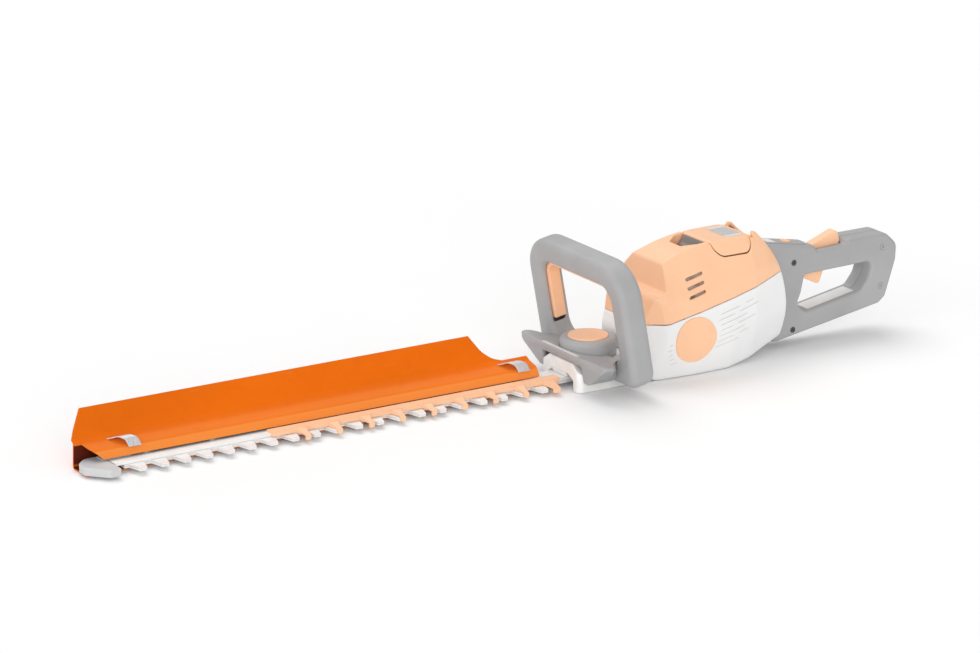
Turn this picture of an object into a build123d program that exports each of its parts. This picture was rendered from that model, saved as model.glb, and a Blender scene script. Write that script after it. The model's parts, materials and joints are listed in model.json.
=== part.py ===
from build123d import *
import os
from math import acos, cos, pi, radians, sin, tan

# Battery hedge trimmer with a single-sided cutter bar and a clip-on sweep plate.
# +X points to the tip of the bar, +Y to the toothed side, +Z up, all in mm.
# The origin is on the flat underside of the motor housing, on the tool's mid-plane.

# ---- Driving dimensions ----
WALL = 3.0
GAP = 0.3

# Cutter bar
TOOTH_PITCH = 30.0
FINGER_PITCH = 45.0
TOOTH_COUNT = 20
FIRST_TOOTH_X = 806.0
FIRST_FINGER_X = 580.0
FINGER_COUNT = 8
COMB_Y = -2.5
BLADE_THICKNESS = 2.2
LOWER_BLADE_Z = 4.8
UPPER_BLADE_Z = 7.2
GUIDE_BAR_Z = 9.6
GUIDE_BAR_TOP = 13.0
BAR_BACK_Y = -28.0
TOOTH_ROOT_Y = 8.0
TOOTH_TIP_Y = 28.0
BAR_END_X = 834.0
BOLT_Y = -15.0
BOLT_PITCH = 90.0
FIRST_BOLT_X = 240.0
BOLT_COUNT = 7
BOLT_R = 4.0
STUD_PLACES = [(176, -18), (176, 2), (186, -8)]
STUD_R = 2.5
STUD_TOP = 19.0

# Crank drive
CRANK_X = 116.5
MOTOR_X = 154.0
GEAR_MODULE = 1.5
PINION_TEETH = 10
CRANK_TEETH = 40
STROKE = 8.0
ECCENTRIC_R = 12.0
CAM_CLEARANCE = 1.9
SHAFT_R = 4.5
GEAR_Z = 16.0
GEAR_WIDTH = 6.0

# Gearbox casting
GEARBOX_FRONT_X = 196.0
GEARBOX_REAR_X = 80.0
GEARBOX_HALF_W = 44.0
GEARBOX_TOP = 36.0
ARCH_HALF_W = 30.0
ARCH_TOP = 20.0

# Motor dome
DOME_R = 36.0
CAP_R = 28.0
DOME_TOP = 60.0

# Motor housing
HOUSING_HALF_W = 68.0
SPHERE_R = 150.0
SWIVEL_Z = 62.0
HOUSING_REAR_X = -128.0
BATTERY_X = (-75.0, -8.0)
BATTERY_HALF_W = 32.0
BATTERY_Z = (52.0, 164.0)
BADGE_X = 33.0
BADGE_Z = 50.0
BADGE_R = 30.0

LATCH_PIVOT = (-3.8, 151.6)
LATCH_PIN_R = 1.2

# Front handle
LOOP_HALF_W = 108.0
LOOP_TOP = 178.0
LOOP_TUBE = 31.0
LOOP_DEPTH = 34.0
LOOP_LEAN = 10.5
LOOP_X = 139.0

# Rear handle
HANDLE_HALF_W = 20.0

# Sweep plate
SHEET = 1.6
PLATE_NEAR_Y = -6.0
PLATE_TIP_X = 858.0
PLATE_ROOT_X = 223.0


# ---- Helpers ----
def box(x0, x1, y0, y1, z0, z1):
    """Box between two corners."""
    return Pos((x0 + x1) / 2, (y0 + y1) / 2, (z0 + z1) / 2) * Box(x1 - x0, y1 - y0, z1 - z0)


def cyl_z(x, y, z0, z1, r):
    """Upright cylinder from z0 to z1."""
    return Pos(x, y, (z0 + z1) / 2) * Cylinder(r, z1 - z0)


def cyl_y(x, z, y0, y1, r):
    """Cylinder across the tool from y0 to y1."""
    return Pos(x, (y0 + y1) / 2, z) * Rot(90, 0, 0) * Cylinder(r, y1 - y0)


def cyl_x(y, z, x0, x1, r):
    """Cylinder along the tool from x0 to x1."""
    return Pos((x0 + x1) / 2, y, z) * Rot(0, 90, 0) * Cylinder(r, x1 - x0)


def outline(points, radius=0.0):
    """Closed face through points, with one radius or a list of them."""
    if radius == 0.0:
        return make_face(Polyline(*points, close=True))
    return make_face(FilletPolyline(*points, radius=radius, close=True))


def prism_x(points, x0, x1, radius=0.0):
    """Outline in Y and Z, drawn along X."""
    return extrude(Plane.YZ.offset(x0) * outline(points, radius), x1 - x0)


def prism_y(points, y0, y1, radius=0.0):
    """Outline in X and Z, drawn along Y."""
    return extrude(Plane.XZ.offset(-y1) * outline(points, radius), y1 - y0)


def prism_z(points, z0, z1, radius=0.0):
    """Outline in X and Y, drawn along Z."""
    return extrude(Plane.XY.offset(z0) * outline(points, radius), z1 - z0)


def hex_z(x, y, z0, z1, across):
    """Upright hexagonal prism."""
    hexagon = Pos(x, y) * RegularPolygon(across / 2, 6, major_radius=False)
    return extrude(Plane.XY.offset(z0) * hexagon, z1 - z0)


def screw(length, shank_r, head_r, head_h):
    """Screw along +Z with its head on top of z = 0 and a hex socket in it."""
    socket = extrude(Plane.XY.offset(head_h * 0.45) * RegularPolygon(head_r * 0.5, 6), head_h)
    return cyl_z(0, 0, -length, 0, shank_r) + cyl_z(0, 0, 0, head_h, head_r) - socket


def group(solids):
    """Several separate solids in one node."""
    return Compound(children=[s for shape in solids for s in shape.solids()])


parts = {}


# ---- Gears ----
def gear(teeth, width, backlash=0.28):
    """Involute spur gear centred on the Z axis, with a tooth centred on +X."""
    pitch_r = GEAR_MODULE * teeth / 2
    base_r = pitch_r * cos(radians(20))
    outer_r = pitch_r + GEAR_MODULE * 0.9
    root_r = pitch_r - GEAR_MODULE * 1.25
    start_r = max(base_r, root_r)
    pressure = tan(radians(20)) - radians(20)
    half_tooth = pi / (2 * teeth) - backlash / (2 * pitch_r)
    flank = []
    for step in range(5):
        r = start_r + (outer_r - start_r) * step / 4
        roll = acos(min(1.0, base_r / r))
        flank.append((r, half_tooth + pressure - (tan(roll) - roll)))
    points = []
    for tooth in range(teeth):
        middle = 2 * pi * tooth / teeth
        points.append((root_r, middle - flank[0][1] - 0.02))
        points += [(r, middle - angle) for r, angle in flank]
        points += [(r, middle + angle) for r, angle in reversed(flank)]
        points.append((root_r, middle + flank[0][1] + 0.02))
    return extrude(make_face(Polyline(*[(r * cos(a), r * sin(a)) for r, a in points], close=True)), width)


def build_crank():
    """Crank gear on its shaft, with two opposed eccentrics that drive the blades."""
    lower = cyl_z(CRANK_X, -STROKE, LOWER_BLADE_Z, LOWER_BLADE_Z + BLADE_THICKNESS, ECCENTRIC_R)
    upper = cyl_z(CRANK_X, STROKE, UPPER_BLADE_Z, UPPER_BLADE_Z + BLADE_THICKNESS, ECCENTRIC_R)
    web = cyl_z(CRANK_X, 0, LOWER_BLADE_Z + BLADE_THICKNESS, UPPER_BLADE_Z, SHAFT_R)
    shaft = cyl_z(CRANK_X, 0, 1.4, 30.0, SHAFT_R)
    parts["eccentric_shaft"] = shaft + lower + upper + web
    turned = Pos(CRANK_X, 0, GEAR_Z) * Rot(0, 0, 180 / CRANK_TEETH) * gear(CRANK_TEETH, GEAR_WIDTH)
    hub = cyl_z(CRANK_X, 0, GEAR_Z - 2, GEAR_Z + GEAR_WIDTH + 1, 10)
    wheel = turned + hub - cyl_z(CRANK_X, 0, 0, 40, SHAFT_R)
    for k in range(6):
        angle = radians(60 * k + 30)
        wheel -= cyl_z(CRANK_X + 19 * cos(angle), 19 * sin(angle), 0, 40, 5)
    parts["crank_gear"] = wheel
    bearing = cyl_z(CRANK_X, 0, 25.0, 30.0, 10.0) - cyl_z(CRANK_X, 0, 0, 40, SHAFT_R + 0.05)
    bush = cyl_z(CRANK_X, 0, 1.4, 4.2, 8.0) - cyl_z(CRANK_X, 0, 0, 40, SHAFT_R + 0.05)
    parts["crank_bearings"] = group([bearing, bush])


def build_motor():
    """Upright motor under the dome: stator, rotor, shaft, fan, pinion and bearings."""
    shaft = cyl_z(MOTOR_X, 0, 14.5, 57.0, 2.5)
    rotor = cyl_z(MOTOR_X, 0, 39.0, 53.0, 13.0) - cyl_z(MOTOR_X, 0, 0, 80, 2.5)
    ring = cyl_z(MOTOR_X, 0, 38.0, 53.5, 27.0) - cyl_z(MOTOR_X, 0, 0, 80, 21.0)
    poles = [Pos(MOTOR_X, 0, 0) * Rot(0, 0, 40 * k) * box(13.6, 22, -2.6, 2.6, 40.0, 51.5) for k in range(9)]
    for pole in poles:
        ring += pole
    fan = cyl_z(MOTOR_X, 0, 54.2, 55.4, 20) + cyl_z(MOTOR_X, 0, 54.2, 56.8, 5)
    for k in range(8):
        fan += Pos(MOTOR_X, 0, 0) * Rot(0, 0, 45 * k) * box(6, 19, -0.7, 0.7, 55.4, 57.4)
    fan -= cyl_z(MOTOR_X, 0, 0, 80, 2.5)
    pinion = Pos(MOTOR_X, 0, GEAR_Z) * Rot(0, 0, 180) * gear(PINION_TEETH, GEAR_WIDTH)
    pinion -= cyl_z(MOTOR_X, 0, 0, 80, 2.5)
    low = cyl_z(MOTOR_X, 0, 29.0, 34.0, 8.0) - cyl_z(MOTOR_X, 0, 0, 80, 2.55)
    parts["motor_stator"] = ring
    parts["motor_rotor"] = rotor
    parts["motor_shaft"] = shaft
    parts["cooling_fan"] = fan
    parts["pinion"] = pinion
    parts["motor_bearing"] = low


# ---- Cutter bar ----
def bolt_places():
    """Places of the bolts along the bar."""
    return [FIRST_BOLT_X + BOLT_PITCH * k for k in range(BOLT_COUNT)]


def blade(z):
    """Toothed blade whose tail is a yoke around its eccentric."""
    front = FIRST_TOOTH_X + 16
    spine = box(226, front, -24, TOOTH_ROOT_Y, z, z + BLADE_THICKNESS)
    neck = box(CRANK_X, 230, -20, 6, z, z + BLADE_THICKNESS)
    slot_x = ECCENTRIC_R + CAM_CLEARANCE
    slot_y = STROKE + ECCENTRIC_R + 0.5
    top = z + BLADE_THICKNESS
    yoke = box(CRANK_X - slot_x - 6, CRANK_X + slot_x + 6, -slot_y - 5, slot_y + 5, z, top)
    body = spine + neck + yoke - box(CRANK_X - slot_x, CRANK_X + slot_x, -slot_y, slot_y, z, top)
    for k in range(TOOTH_COUNT):
        x = FIRST_TOOTH_X - TOOTH_PITCH * k
        body += prism_z([(x - 10, TOOTH_ROOT_Y - 0.5), (x + 10, TOOTH_ROOT_Y - 0.5), (x + 4.5, TOOTH_TIP_Y),
                         (x - 4.5, TOOTH_TIP_Y)], z, z + BLADE_THICKNESS)
    for x in bolt_places():
        slot = SlotCenterToCenter(2 * STROKE + 1, 2 * (BOLT_R + GAP))
        body -= Pos(x, BOLT_Y, z) * extrude(slot, BLADE_THICKNESS)
    return body


def build_cutter_bar():
    """Blades, guide bar, cut guard comb, bolts, nuts and tip guard."""
    parts["upper_blade"] = blade(UPPER_BLADE_Z)
    parts["lower_blade"] = blade(LOWER_BLADE_Z)
    bar = box(166, BAR_END_X, BAR_BACK_Y, TOOTH_ROOT_Y, GUIDE_BAR_Z, GUIDE_BAR_TOP)
    for x in bolt_places():
        bar -= cyl_z(x, BOLT_Y, 0, 30, BOLT_R)
    for k in range(6):
        x = FIRST_BOLT_X + BOLT_PITCH * (k + 0.5)
        bar -= Pos(x, -20, GUIDE_BAR_Z) * extrude(SlotOverall(44, 6), GUIDE_BAR_TOP - GUIDE_BAR_Z)
    for x, y in STUD_PLACES:
        bar -= cyl_z(x, y, 0, 30, STUD_R)
    parts["bar_studs"] = group([cyl_z(x, y, GUIDE_BAR_Z + 0.1, STUD_TOP, STUD_R) for x, y in STUD_PLACES])
    parts["guide_bar"] = bar
    bolts = []
    nuts = []
    for x in bolt_places():
        bolts.append(Pos(x, BOLT_Y, GUIDE_BAR_TOP) * screw(10.8, BOLT_R, 6.5, 3.2))
        nuts.append(hex_z(x, BOLT_Y, 2.2, 4.6, 12.0) - cyl_z(x, BOLT_Y, 0, 10, BOLT_R))
    parts["bar_bolts"] = group(bolts)
    parts["bar_nuts"] = group(nuts)
    parts["cut_guard"] = cut_guard()
    build_tip_guard()


def finger(x, root_w, tip_w, reach):
    """One guard finger that reaches past the tooth tips and bends down in front of them."""
    side = prism_x([(COMB_Y, GUIDE_BAR_TOP), (COMB_Y, 15.6), (14, 15.2), (reach + 3, 10), (reach + 3, 4.6),
                    (reach + 0.6, 4.6), (reach + 0.6, 9.8), (TOOTH_ROOT_Y + 0.3, 9.8),
                    (TOOTH_ROOT_Y + 0.3, GUIDE_BAR_TOP)], x - root_w, x + root_w)
    plan = prism_z([(x - root_w, -5), (x + root_w, -5), (x + root_w, 6), (x + root_w * 0.55, 12),
                    (x + tip_w, reach - 6), (x + tip_w * 0.8, reach + 3), (x - tip_w * 0.8, reach + 3),
                    (x - tip_w, reach - 6), (x - root_w * 0.55, 12), (x - root_w, 6)], 0, 30)
    return side & plan


def cut_guard():
    """Plastic comb on the rear half of the bar that keeps hands off the teeth."""
    x_end = FIRST_FINGER_X + 40
    comb = prism_x([(COMB_Y, GUIDE_BAR_TOP), (COMB_Y, 15.6), (12, 15.4), (12, 9.8), (TOOTH_ROOT_Y + 0.3, 9.8),
                    (TOOTH_ROOT_Y + 0.3, GUIDE_BAR_TOP)], 204, x_end)
    for k in range(FINGER_COUNT):
        comb += finger(FIRST_FINGER_X - FINGER_PITCH * k, 12, 4.2, TOOTH_TIP_Y)
    comb += finger(222, 14, 6, TOOTH_TIP_Y + 4)
    return comb


def build_tip_guard():
    """Rounded nose at the end of the bar and its two screws."""
    x = BAR_END_X + 2
    nose = prism_z([(x, BAR_BACK_Y), (858, BAR_BACK_Y), (872, -14), (872, 2), (858, 18), (850, 27), (x, 27)],
                   2.6, GUIDE_BAR_TOP + 0.1, [0, 12, 10, 10, 10, 4, 0])
    tongue = box(802, x + 6, -25, -10, GUIDE_BAR_TOP, GUIDE_BAR_TOP + 1.4)
    guard = nose + tongue
    screws = []
    for screw_x in (809, 827):
        guard -= cyl_z(screw_x, -16, 0, 30, 2.0)
        parts["guide_bar"] -= cyl_z(screw_x, -16, 0, 30, 2.0)
        screws.append(Pos(screw_x, -16, GUIDE_BAR_TOP + 1.4) * screw(4.4, 2.0, 4.0, 2.2))
    parts["tip_guard"] = guard
    parts["tip_guard_screws"] = group(screws)


# ---- Gearbox ----
def build_gearbox():
    """Cast case with the arch that the bar leaves by, its base cover and screws."""
    case = prism_z([(GEARBOX_REAR_X, -GEARBOX_HALF_W), (GEARBOX_FRONT_X, -GEARBOX_HALF_W),
                    (GEARBOX_FRONT_X, GEARBOX_HALF_W), (GEARBOX_REAR_X, GEARBOX_HALF_W)],
                   0, GEARBOX_TOP, [16, 8, 8, 16])
    top_cut = prism_x([(-60, 50), (-60, 24), (-GEARBOX_HALF_W, 24), (-26, GEARBOX_TOP), (26, GEARBOX_TOP),
                       (GEARBOX_HALF_W, 24), (60, 24), (60, 50)], GEARBOX_FRONT_X - 40, GEARBOX_FRONT_X + 5)
    case -= top_cut
    case -= prism_x([(-ARCH_HALF_W, -1), (ARCH_HALF_W, -1), (ARCH_HALF_W - 1, ARCH_TOP - 6), (18, ARCH_TOP),
                     (-18, ARCH_TOP), (-ARCH_HALF_W + 1, ARCH_TOP - 6)], 150, GEARBOX_FRONT_X + 5)
    case -= box(GEARBOX_REAR_X + 4, 166, -36, 36, -1, 24.5)
    case += box(170, 192, -24, 8, GUIDE_BAR_TOP, ARCH_TOP + 2)
    for x, y in STUD_PLACES:
        case -= cyl_z(x, y, 10, STUD_TOP, STUD_R)
    case -= cyl_z(CRANK_X, 0, 24, 30, 10.0)
    case -= cyl_z(CRANK_X, 0, 24, 31, SHAFT_R + 1)
    case -= cyl_z(MOTOR_X, 0, 29, 50, 8.0)
    case -= cyl_z(MOTOR_X, 0, 20, 50, 5.0)
    screws = []
    for x, y in [(92, -40), (92, 40), (180, -37), (180, 37)]:
        case -= cyl_z(x, y, -1, 3.2, 3.5)
        case -= cyl_z(x, y, 3, 16, 2.0)
        screws.append(Pos(x, y, 3.2) * Rot(180, 0, 0) * screw(12.0, 2.0, 3.2, 2.4))
    parts["gearbox_housing"] = case
    parts["gearbox_screws"] = group(screws)
    cover = box(GEARBOX_REAR_X + 4.2, 160, -35.8, 35.8, 0.4, 1.4)
    cover += cyl_z(CRANK_X, 0, 0.4, 4.2, 10.5)
    parts["gearbox_cover"] = cover - cyl_z(CRANK_X, 0, 1.4, 10, 8.0)


# ---- Hand guard and motor dome ----
def guard_solid():
    """Visor over the gearbox whose wings sweep out to both sides."""
    side = prism_y([(201, 50), (201, 46.5), (194, 36), (190, 14), (120, 14), (120, 42), (160, 43)],
                   -100, 100, [1.2, 1.2, 10, 0, 0, 0, 50])
    wings = prism_x([(0, 53), (-60, 50), (-98, 47), (-98, 43), (-74, 26), (-56, 14), (56, 14), (74, 26),
                     (98, 43), (98, 47), (60, 50)], 118, 206, [60, 30, 1, 1, 14, 8, 8, 14, 1, 1, 30])
    plan = prism_z([(128, -58), (128, 58), (166, 74), (176, 97), (193, 97), (201, 44), (201, -44), (193, -97),
                    (176, -97), (166, -74)], 0, 80, [10, 10, 14, 8, 6, 30, 30, 6, 8, 14])
    return side & wings & plan


def guard_hollow():
    """Room under the visor that leaves the guard a shell."""
    side = prism_y([(196, 45), (187, 34), (185, 10), (131, 10), (131, 38), (160, 39.5)], -100, 100)
    wings = prism_x([(0, 49.5), (-60, 46.5), (-86, 44), (-73, 30), (-53, 14), (-53, 5), (53, 5), (53, 14),
                     (73, 30), (86, 44), (60, 46.5)], 118, 206)
    plan = prism_z([(131, -55), (131, 55), (168, 71), (178, 94), (191, 94), (198, 43), (198, -43), (191, -94),
                    (178, -94), (168, -71)], 0, 80)
    return side & wings & plan


def build_hand_guard():
    """Hand guard shell, its blank label, the motor dome and the oval cap on it."""
    half = GEARBOX_HALF_W + GAP
    case_room = box(100, GEARBOX_FRONT_X + 10, -half, half, 0, GEARBOX_TOP + GAP)
    solid = guard_solid()
    guard = solid - guard_hollow() - case_room - cyl_z(MOTOR_X, 0, 0, 80, DOME_R + GAP)
    label = solid & (box(192, 199, -40, 40, 40, 80) - Pos(0, 0, -0.8) * solid)
    guard -= label
    parts["hand_guard"] = sorted(guard.solids(), key=lambda s: s.volume)[-1]
    parts["guard_label"] = sorted(label.solids(), key=lambda s: s.volume)[-1]
    body = cyl_z(MOTOR_X, 0, GEARBOX_TOP + 0.1, DOME_TOP, DOME_R)
    body = fillet(body.edges().group_by(Axis.Z)[-1], 7)
    hollow = cyl_z(MOTOR_X, 0, GEARBOX_TOP, DOME_TOP - 2.6, DOME_R - WALL)
    seat = cyl_z(MOTOR_X, 0, DOME_TOP - 1.2, DOME_TOP + 5, CAP_R - 1.7)
    parts["motor_dome"] = body - hollow - seat
    cap = cyl_z(MOTOR_X, 0, DOME_TOP - 1.2, DOME_TOP + 1.4, CAP_R - 2)
    parts["dome_cap"] = fillet(cap.edges().group_by(Axis.Z)[-1], 1.2)


# ---- Front handle ----
def loop_plane():
    """Plane of the front handle, leaning forward: its X runs to +Y and its Y runs up the handle."""
    lean = radians(LOOP_LEAN)
    return Plane(origin=(LOOP_X - 5, 0, 0), x_dir=(0, 1, 0), z_dir=(cos(lean), 0, -sin(lean)))


def loop_ring(outer_inset, inner_inset, depth):
    """Closed loop of the handle, with its outer and inner outlines moved inwards."""
    half = LOOP_HALF_W - outer_inset
    low = 15 + outer_inset
    top = LOOP_TOP - outer_inset
    inner = LOOP_HALF_W - LOOP_TUBE + inner_inset
    inner_top = LOOP_TOP - LOOP_TUBE + inner_inset
    inner_low = 44 - inner_inset
    face = outline([(-half, low), (half, low), (half, top), (-half, top)],
                   [18 - outer_inset / 2, 18 - outer_inset / 2, 46 - outer_inset, 46 - outer_inset])
    face -= outline([(-inner, inner_low), (inner, inner_low), (inner, inner_top), (-inner, inner_top)],
                    [16 + inner_inset / 2, 16 + inner_inset / 2, 20 + inner_inset, 20 + inner_inset])
    return extrude(loop_plane() * face, depth / 2, both=True)


def loop_box(v0, v1, half_u, w0=-40.0, w1=40.0):
    """Box in the handle's own plane."""
    block = Pos(0, (v0 + v1) / 2, (w0 + w1) / 2) * Box(2 * half_u, v1 - v0, w1 - w0)
    return loop_plane() * block


def build_front_handle():
    """Loop handle of two shells with the switch bail let into its inner side."""
    ring = loop_ring(0, 0, LOOP_DEPTH)
    ring = fillet(ring.edges().filter_by(lambda e: e.length > 60), 9)
    hollow = loop_ring(WALL, WALL, LOOP_DEPTH - 2 * WALL)
    bail_room = loop_ring(LOOP_TUBE - 12, -6, 17.2) & loop_box(60, 200, 150, -9, 9)
    core = box(60, 230, -GEARBOX_HALF_W - 0.4, GEARBOX_HALF_W + 0.4, -5, 52)
    shell = ring - hollow - bail_room - core
    screws = []
    for side in (-1, 1):
        for z in (22, 32):
            place = Pos(142, side * (GEARBOX_HALF_W + 8), z) * Rot(-90 * side, 0, 0)
            shell -= cyl_y(142, z, side * 50 - 12, side * 50 + 12, 2.1)
            screws.append(place * screw(18, 2.0, 3.8, 2.4))
            parts["gearbox_housing"] -= cyl_y(142, z, side * 40 - 6, side * 40 + 6, 2.0)
    shell_front = shell & loop_box(-20, 220, 200, 0.05, 40)
    shell_rear = shell & loop_box(-20, 220, 200, -40, -0.05)
    parts["front_handle_front"] = group(shell_front.solids())
    parts["front_handle_rear"] = group(shell_rear.solids())
    parts["front_handle_screws"] = group(screws)
    bail = loop_ring(23, -4, 16.6) & loop_box(66, 200, 150)
    flange = loop_ring(24, 3.4, 24) & loop_box(72, 200, 150)
    parts["switch_bail"] = bail + flange
    guard = parts["hand_guard"] - loop_ring(-GAP, -GAP, LOOP_DEPTH + 2 * GAP)
    parts["hand_guard"] = sorted(guard.solids(), key=lambda s: s.volume)[-1]


# ---- Motor housing ----
HULL_SECTIONS = [
    # x, then half width and height at the bottom, waist, flank crease, shoulder and crown
    (114, (38, 0), (46, 45), (44, 96), (36, 124), (24, 140)),
    (75, (50, -3), (64, 50), (61, 110), (44, 132), (24, 154)),
    (25, (54, -3), (68, 52), (63, 108), (50, 140), (24, 166)),
    (-25, (53, -3), (68, 56), (62, 119), (53, 142), (27, 172)),
    (-62, (48, 4), (63, 60), (59, 127), (50, 146), (28, 172)),
    (-92, (40, 13), (54, 62), (51, 127), (43, 144), (26, 164)),
    (-135, (28, 24), (40, 62), (38, 112), (32, 124), (22, 136)),
]
SECTION_RADII = [12, 60, 30, 8, 6]
SIDE_OUTLINE = [(112, -6), (110, 60), (100, 76), (90, 108), (84, 113), (73, 115), (65, 147), (37, 157),
                (11, 162), (-6, 164), (-58, 164), (-70, 168.5), (-84, 168), (-100, 147), (-118, 116),
                (-140, 92), (-140, -6)]
SIDE_RADII = [0, 30, 20, 8, 3, 3, 6, 60, 60, 20, 8, 5, 6, 40, 40, 0, 0]
PLAN_OUTLINE = [(112, -34), (112, 34), (100, 44), (76, 63), (40, 80), (-100, 80), (-140, 60), (-140, -60),
                (-100, -80), (40, -80), (76, -63), (100, -44)]
PLAN_RADII = [14, 14, 14, 14, 0, 0, 0, 0, 0, 0, 14, 14]


def hull(inset):
    """Motor housing body; inset moves its skin inwards."""
    faces = []
    for x, *half in HULL_SECTIONS:
        right = [(y - inset, z) for y, z in half]
        right[0] = (right[0][0], half[0][1] + inset)
        right[-1] = (right[-1][0], half[-1][1] - inset)
        left = [(-y, z) for y, z in reversed(right)]
        face = outline(right + left, SECTION_RADII + SECTION_RADII[::-1])
        faces.append(Plane.YZ.offset(x) * face)
    side = outline(SIDE_OUTLINE, SIDE_RADII)
    plan = outline(PLAN_OUTLINE, PLAN_RADII)
    if inset:
        side = offset(side, -inset)
        plan = offset(plan, -inset)
    body = loft(faces, ruled=True) & extrude(Plane.XZ * side, 100, both=True)
    return body & extrude(plan, 400, both=True)


def swivel_ball(radius):
    """Ball whose rear side is the face that the rear handle turns on."""
    return Pos(HOUSING_REAR_X + SPHERE_R, 0, SWIVEL_Z) * Sphere(radius)


def upper_region(shift=0.0):
    """Everything above the seam between the two housings, which climbs towards the rear."""
    return prism_y([(140, 74 + shift), (70, 76 + shift), (-88, 109 + shift), (-150, 122 + shift), (-150, 220),
                    (140, 220)], -100, 100)


def cover_lobes(grow):
    """Room of the two side lobes of the battery cover, let into the shoulders of the housing."""
    edge = outline([(-9, 190), (-11, 156), (-18, 147.5), (-58, 147.5), (-68, 156), (-70, 190)],
                   [0, 10, 12, 12, 10, 0])
    if grow:
        edge = offset(edge, grow)
    return extrude(Plane.XZ * edge, 80, both=True)


def finger_recess(grow):
    """Rounded scoop in front of the battery, for the thumb that presses the latch."""
    side = outline([(-12, 148), (8, 144), (20, 150), (31, 190), (-12, 190)], [0, 8, 12, 0, 0])
    plan = outline([(-12, -26), (6, -25), (26, -10), (26, 10), (6, 25), (-12, 26)], [0, 12, 9, 9, 12, 0])
    if grow:
        side = offset(side, grow)
        plan = offset(plan, grow)
    return extrude(Plane.XZ * side, 80, both=True) & extrude(plan, 300)


def bay_box(grow, z_top):
    """Block around the battery, grown on every side but the top."""
    x0, x1 = BATTERY_X
    half = BATTERY_HALF_W + grow
    return box(x0 - grow, x1 + grow, -half, half, BATTERY_Z[0] - grow, z_top)


def build_housing():
    """Lower housing, top housing with the battery bay, badges and electronics."""
    outer = hull(0) & swivel_ball(SPHERE_R) & box(-140, 120, -90, 90, 0, 200)
    inner = hull(WALL) & swivel_ball(SPHERE_R - 4) & box(-140, 112 - WALL, -90, 90, WALL, 200)
    shell = outer - inner
    case_room = box(GEARBOX_REAR_X - GAP, 130, -GEARBOX_HALF_W - GAP, GEARBOX_HALF_W + GAP, -5,
                    GEARBOX_TOP + GAP)
    lower = shell - upper_region(-0.2) - case_room
    lower -= cyl_x(0, SWIVEL_Z, -150, -100, 14.06)
    tray = bay_box(3, 170) - bay_box(1, 220)
    top = shell & upper_region(0.2)
    top += tray & outer & upper_region(0.2)
    top += finger_recess(WALL) & outer & upper_region(0.2)
    for side in (-1, 1):
        top += cyl_y(*LATCH_PIVOT, side * 28 - 4, side * 28 + 4, 3.6)
    top -= bay_box(1, 220)
    top -= cover_lobes(1.2) - bay_box(0, 147)
    top -= finger_recess(0)
    top -= prism_x([(-26, 190), (-24, 152), (24, 152), (26, 190)], -130, BATTERY_X[0], [0, 8, 8, 0])
    top -= cyl_y(*LATCH_PIVOT, -29, 29, LATCH_PIN_R)
    parts["lower_housing"] = sorted(lower.solids(), key=lambda s: s.volume)[-1]
    parts["top_housing"] = sorted(top.solids(), key=lambda s: s.volume)[-1]
    parts["battery_bay"] = tray - upper_region(-0.2)
    build_vents()
    build_badges()
    build_electronics()


def build_vents():
    """Three slanting air slots in each flank of the top housing."""
    for side in (-1, 1):
        for k in range(3):
            slot = Pos(29, side * 60, 108 + 11 * k) * Rot(90, 0, 0) * Rot(0, 0, -14)
            parts["top_housing"] -= slot * extrude(SlotOverall(26, 3.6), 25, both=True)


def build_badges():
    """Blank round badge let into each flank of the lower housing."""
    pocket = hull(-2) - hull(1.2)
    proud = hull(-0.8) - hull(1.2)
    discs = []
    for side in (-1, 1):
        disc = cyl_y(BADGE_X, BADGE_Z, side * 68 - 12, side * 68 + 12, BADGE_R)
        discs.append(disc & proud)
        parts["lower_housing"] -= disc & pocket
    parts["badge_discs"] = group(discs)


def build_electronics():
    """Control board and the terminal block under the battery."""
    board = box(10, 74, -30, 30, 46, 48)
    parts["control_board"] = board + box(20, 44, -22, 22, 48, 60) + box(52, 66, -10, 10, 48, 56)
    block = box(-60, -24, -18, 18, BATTERY_Z[0] - 1, BATTERY_Z[0] + 6)
    for k in range(4):
        block -= box(-54 + 8 * k, -51 + 8 * k, -14, 14, BATTERY_Z[0] + 1, BATTERY_Z[0] + 10)
    parts["battery_terminals"] = block


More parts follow.
